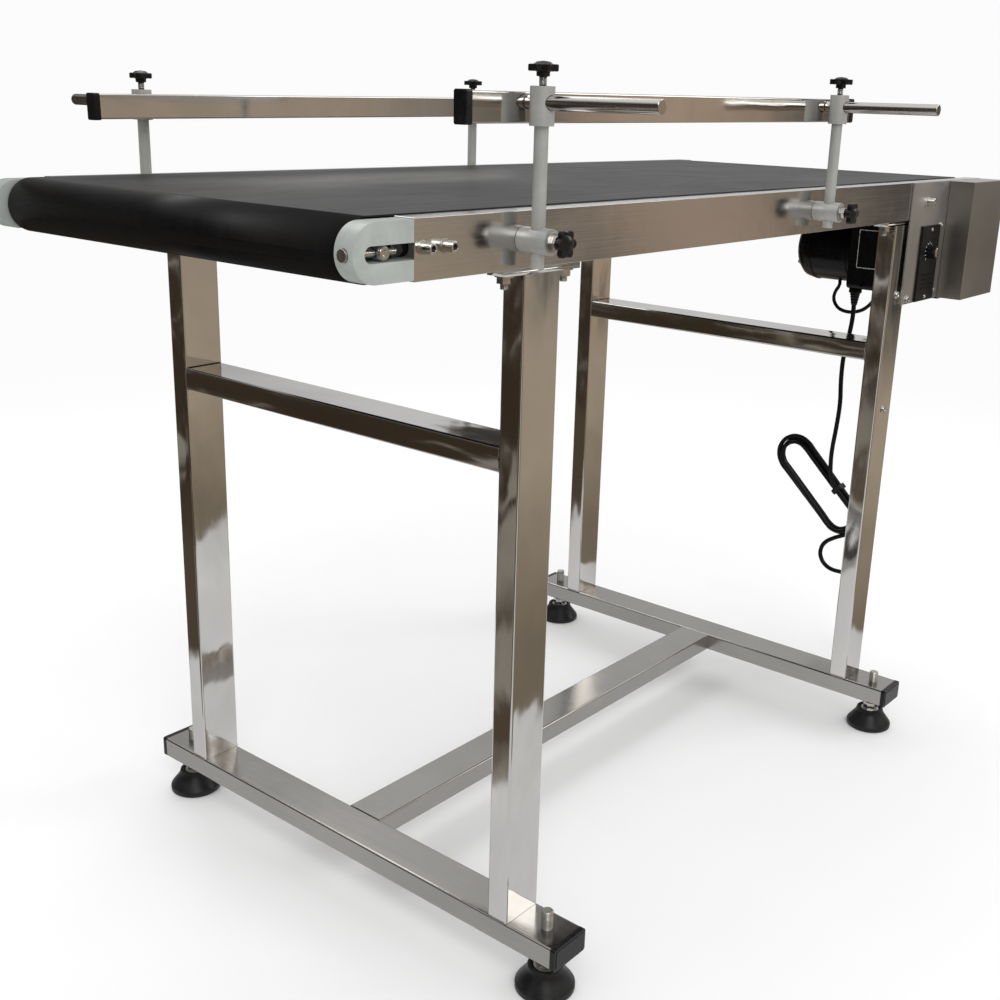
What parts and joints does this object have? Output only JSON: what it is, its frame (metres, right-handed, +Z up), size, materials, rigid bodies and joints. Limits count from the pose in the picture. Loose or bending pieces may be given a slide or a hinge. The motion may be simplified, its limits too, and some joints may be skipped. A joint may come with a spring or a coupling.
{
  "type": "belt conveyor section",
  "caption": "Short floor-standing belt conveyor section with an H-shaped tube stand, adjustable side guide rails and a chain-driven gearmotor under the drive end.",
  "frame": {"origin": "middle of the overall length and width, on the floor under the feet", "axes": "+X along the belt towards the drive end, +Y across the belt to the rear side, +Z up"},
  "size_m": [1.24, 0.794, 0.8984],
  "materials": {
    "polished_stainless": "mirror-polished stainless tube",
    "brushed_stainless": "satin brushed stainless",
    "bright_steel": "turned or zinc-plated steel",
    "grey_casting": "light grey cast metal, satin",
    "black_plastic": "black moulded plastic",
    "black_housing": "black painted die-cast gear head",
    "black_motor": "black painted motor shell",
    "black_rubber": "black rubber",
    "belt_surface": "matte black PVC belt"
  },
  "bodies": {
    "frame": {"base_beam_tail": "brushed_stainless", "base_beam_drive": "brushed_stainless", "long_beam": "brushed_stainless", "side_frame_front": "brushed_stainless", "side_frame_rear": "brushed_stainless", "motor_plate": "brushed_stainless", "chain_cover": "brushed_stainless", "cross_bar_tail": "polished_stainless", "cross_bar_drive": "polished_stainless", "slider_bed": "bright_steel", "drive_chain": "bright_steel", "tail_housing_front": "grey_casting", "tail_housing_rear": "grey_casting", "belt": "belt_surface", "gearbox": "black_housing", "motor_body": "black_motor", "control_panel": "black_plastic", "cord_gland": "black_plastic", "power_plug": "black_plastic", "power_cord": "black_rubber", "cord_hank": "black_rubber", "motor_lead": "black_rubber", "leg_front_tail": "polished_stainless", "post_clamp_front_tail": "grey_casting", "leg_front_drive": "polished_stainless", "post_clamp_front_drive": "grey_casting", "leg_rear_tail": "polished_stainless", "post_clamp_rear_tail": "grey_casting", "leg_rear_drive": "polished_stainless", "post_clamp_rear_drive": "grey_casting"},
    "foot_front_tail": {"foot_front_tail": "black_rubber"},
    "post_front_tail": {"guide_post_front_tail": "grey_casting"},
    "post_knob_front_tail": {"post_knob_front_tail": "black_plastic"},
    "rod_knob_front_tail": {"rod_knob_front_tail": "black_plastic"},
    "foot_front_drive": {"foot_front_drive": "black_rubber"},
    "post_front_drive": {"guide_post_front_drive": "grey_casting"},
    "post_knob_front_drive": {"post_knob_front_drive": "black_plastic"},
    "rod_knob_front_drive": {"rod_knob_front_drive": "black_plastic"},
    "foot_rear_tail": {"foot_rear_tail": "black_rubber"},
    "post_rear_tail": {"guide_post_rear_tail": "grey_casting"},
    "post_knob_rear_tail": {"post_knob_rear_tail": "black_plastic"},
    "rod_knob_rear_tail": {"rod_knob_rear_tail": "black_plastic"},
    "foot_rear_drive": {"foot_rear_drive": "black_rubber"},
    "post_rear_drive": {"guide_post_rear_drive": "grey_casting"},
    "post_knob_rear_drive": {"post_knob_rear_drive": "black_plastic"},
    "rod_knob_rear_drive": {"rod_knob_rear_drive": "black_plastic"},
    "front_rail": {"guide_rail_front": "polished_stainless", "guide_rod_front_tail": "polished_stainless", "guide_rod_front_drive": "polished_stainless"},
    "rear_rail": {"guide_rail_rear": "polished_stainless", "guide_rod_rear_tail": "polished_stainless", "guide_rod_rear_drive": "polished_stainless"},
    "tail_shaft": {"tail_shaft": "bright_steel"},
    "tail_roller": {"tail_roller": "bright_steel"},
    "drive_roller": {"drive_roller": "bright_steel", "roller_sprocket": "bright_steel"},
    "motor_output": {"motor_sprocket": "bright_steel"},
    "tension_screw_front": {"tension_screw_front": "bright_steel"},
    "tension_screw_rear": {"tension_screw_rear": "bright_steel"},
    "speed_knob": {"speed_knob": "black_plastic"}
  },
  "joints": [
    {"name": "foot_front_tail_height", "type": "slide", "parent": "frame", "child": "foot_front_tail", "axis": [0, 0, -1], "range_m": [-0.008, 0.02]},
    {"name": "post_front_tail_height", "type": "slide", "parent": "frame", "child": "post_front_tail", "axis": [0, 0, 1], "range_m": [-0.06, 0.008]},
    {"name": "post_knob_front_tail_turn", "type": "hinge", "parent": "frame", "child": "post_knob_front_tail", "pos_m": [-0.424, -0.2903, 0.751], "axis": [0, -1, 0], "range_deg": [0, 360]},
    {"name": "rod_knob_front_tail_turn", "type": "hinge", "parent": "post_front_tail", "child": "rod_knob_front_tail", "pos_m": [-0.424, -0.275, 0.874], "axis": [0, 0, 1], "range_deg": [0, 360]},
    {"name": "foot_front_drive_height", "type": "slide", "parent": "frame", "child": "foot_front_drive", "axis": [0, 0, -1], "range_m": [-0.008, 0.02]},
    {"name": "post_front_drive_height", "type": "slide", "parent": "frame", "child": "post_front_drive", "axis": [0, 0, 1], "range_m": [-0.06, 0.008]},
    {"name": "post_knob_front_drive_turn", "type": "hinge", "parent": "frame", "child": "post_knob_front_drive", "pos_m": [0.107, -0.2903, 0.751], "axis": [0, -1, 0], "range_deg": [0, 360]},
    {"name": "rod_knob_front_drive_turn", "type": "hinge", "parent": "post_front_drive", "child": "rod_knob_front_drive", "pos_m": [0.107, -0.275, 0.879], "axis": [0, 0, 1], "range_deg": [0, 360]},
    {"name": "foot_rear_tail_height", "type": "slide", "parent": "frame", "child": "foot_rear_tail", "axis": [0, 0, -1], "range_m": [-0.008, 0.02]},
    {"name": "post_rear_tail_height", "type": "slide", "parent": "frame", "child": "post_rear_tail", "axis": [0, 0, 1], "range_m": [-0.047, 0.02]},
    {"name": "post_knob_rear_tail_turn", "type": "hinge", "parent": "frame", "child": "post_knob_rear_tail", "pos_m": [-0.424, 0.2903, 0.751], "axis": [0, 1, 0], "range_deg": [0, 360]},
    {"name": "rod_knob_rear_tail_turn", "type": "hinge", "parent": "post_rear_tail", "child": "rod_knob_rear_tail", "pos_m": [-0.424, 0.275, 0.861], "axis": [0, 0, 1], "range_deg": [0, 360]},
    {"name": "foot_rear_drive_height", "type": "slide", "parent": "frame", "child": "foot_rear_drive", "axis": [0, 0, -1], "range_m": [-0.008, 0.02]},
    {"name": "post_rear_drive_height", "type": "slide", "parent": "frame", "child": "post_rear_drive", "axis": [0, 0, 1], "range_m": [-0.047, 0.02]},
    {"name": "post_knob_rear_drive_turn", "type": "hinge", "parent": "frame", "child": "post_knob_rear_drive", "pos_m": [0.107, 0.2903, 0.751], "axis": [0, 1, 0], "range_deg": [0, 360]},
    {"name": "rod_knob_rear_drive_turn", "type": "hinge", "parent": "post_rear_drive", "child": "rod_knob_rear_drive", "pos_m": [0.107, 0.275, 0.869], "axis": [0, 0, 1], "range_deg": [0, 360]},
    {"name": "front_rail_inward", "type": "slide", "parent": "post_front_tail", "child": "front_rail", "axis": [0, 1, 0], "range_m": [-0.003, 0.1]},
    {"name": "rear_rail_inward", "type": "slide", "parent": "post_rear_tail", "child": "rear_rail", "axis": [0, -1, 0], "range_m": [-0.003, 0.1]},
    {"name": "tail_shaft_slacken", "type": "slide", "parent": "frame", "child": "tail_shaft", "axis": [1, 0, 0], "range_m": [0, 0.01]},
    {"name": "tail_roller_spin", "type": "hinge", "parent": "tail_shaft", "child": "tail_roller", "pos_m": [-0.582, 0, 0.75], "axis": [0, 1, 0], "continuous": true},
    {"name": "drive_roller_spin", "type": "hinge", "parent": "frame", "child": "drive_roller", "pos_m": [0.579, 0, 0.75], "axis": [0, 1, 0], "continuous": true},
    {"name": "motor_output_spin", "type": "hinge", "parent": "frame", "child": "motor_output", "pos_m": [0.561, -0.279, 0.669], "axis": [0, 1, 0], "continuous": true},
    {"name": "tension_screw_front_turn", "type": "hinge", "parent": "frame", "child": "tension_screw_front", "pos_m": [-0.6, -0.249, 0.75], "axis": [-1, 0, 0], "range_deg": [0, 3600]},
    {"name": "tension_screw_rear_turn", "type": "hinge", "parent": "frame", "child": "tension_screw_rear", "pos_m": [-0.6, 0.249, 0.75], "axis": [-1, 0, 0], "range_deg": [0, 3600]},
    {"name": "speed_knob_turn", "type": "hinge", "parent": "frame", "child": "speed_knob", "pos_m": [0.446, -0.27, 0.681], "axis": [0, 1, 0], "range_deg": [0, 270]}
  ],
  "couplings": [
    {"joint": "post_front_drive_height", "follows": "post_front_tail_height", "ratio": 1},
    {"joint": "post_rear_drive_height", "follows": "post_rear_tail_height", "ratio": 1},
    {"joint": "motor_output_spin", "follows": "drive_roller_spin", "ratio": 1},
    {"joint": "tail_roller_spin", "follows": "drive_roller_spin", "ratio": 1}
  ]
}
